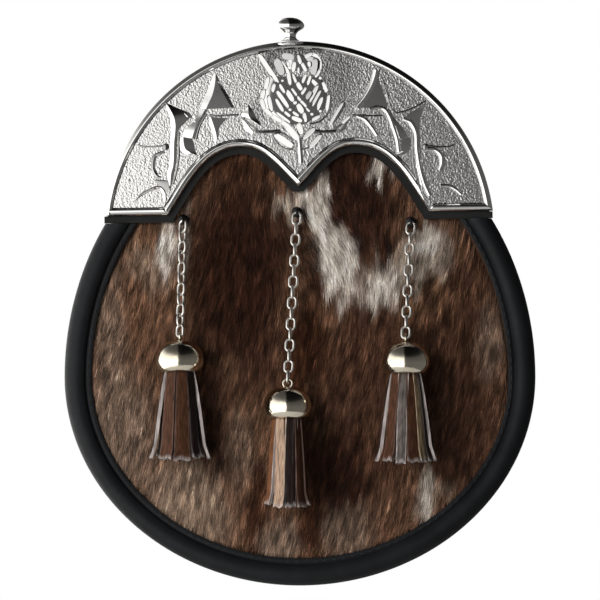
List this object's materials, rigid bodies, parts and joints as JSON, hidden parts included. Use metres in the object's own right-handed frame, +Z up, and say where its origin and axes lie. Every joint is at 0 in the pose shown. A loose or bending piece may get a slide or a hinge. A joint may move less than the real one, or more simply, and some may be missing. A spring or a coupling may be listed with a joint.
{
  "type": "sporran pouch",
  "caption": "Rounded hair-on hide pouch with a black leather edge, a cast half-moon plate with thistle relief over its top, and chain tassels on its front.",
  "frame": {"origin": "where the belt carries it: midway between the two belt loops, at mid height of their slots, on the rear face of the back panel", "axes": "+Z up as it hangs; the front faces -Y, the back panel lies in the plane Y = 0; X runs across it, to the right as seen from the front"},
  "size_m": [0.2009, 0.0669, 0.2415],
  "materials": {
    "cast_metal": "cast, polished high spots, darkened recesses",
    "nickel": "bright nickel plate",
    "black_metal": "blackened wire, satin",
    "black_leather": "fine grain, semi-matt",
    "hair_on_hide": "short hair left on the hide, brown with cream patches"
  },
  "bodies": {
    "root": {"cantle": "cast_metal", "cantle_knob": "cast_metal", "cantle_backing": "black_leather", "front_panel": "hair_on_hide", "front_binding": "black_leather", "gusset": "black_leather", "back_panel": "black_leather", "belt_loop_left": "black_leather", "belt_loop_right": "black_leather", "tassel_eye_left": "black_metal", "tassel_chain_left": "nickel", "tassel_cap_left": "nickel", "tassel_strips_left": "hair_on_hide", "tassel_eye_middle": "black_metal", "tassel_chain_middle": "nickel", "tassel_cap_middle": "nickel", "tassel_strips_middle": "hair_on_hide", "tassel_eye_right": "black_metal", "tassel_chain_right": "nickel", "tassel_cap_right": "nickel", "tassel_strips_right": "hair_on_hide"}
  },
  "joints": []
}
